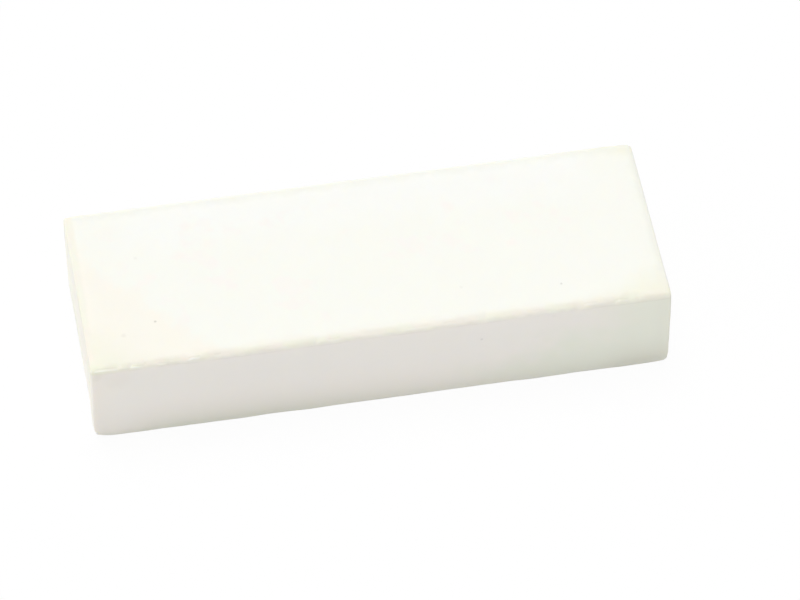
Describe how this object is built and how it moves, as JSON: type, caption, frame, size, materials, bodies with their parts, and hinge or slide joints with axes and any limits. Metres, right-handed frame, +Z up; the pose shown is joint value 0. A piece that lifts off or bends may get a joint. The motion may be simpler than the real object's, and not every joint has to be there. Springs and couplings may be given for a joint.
{
  "type": "eraser",
  "caption": "Plain rectangular block eraser of white rubber with lightly rounded edges, lying on its broad face.",
  "frame": {"origin": "centre of the underside, on the surface that the block lies on", "axes": "+X along the length, +Y across the width, +Z up through the thickness"},
  "size_m": [0.062, 0.0216, 0.0115],
  "materials": {
    "eraser_rubber": "matte ivory white"
  },
  "bodies": {
    "root": {"eraser_block": "eraser_rubber"}
  },
  "joints": []
}
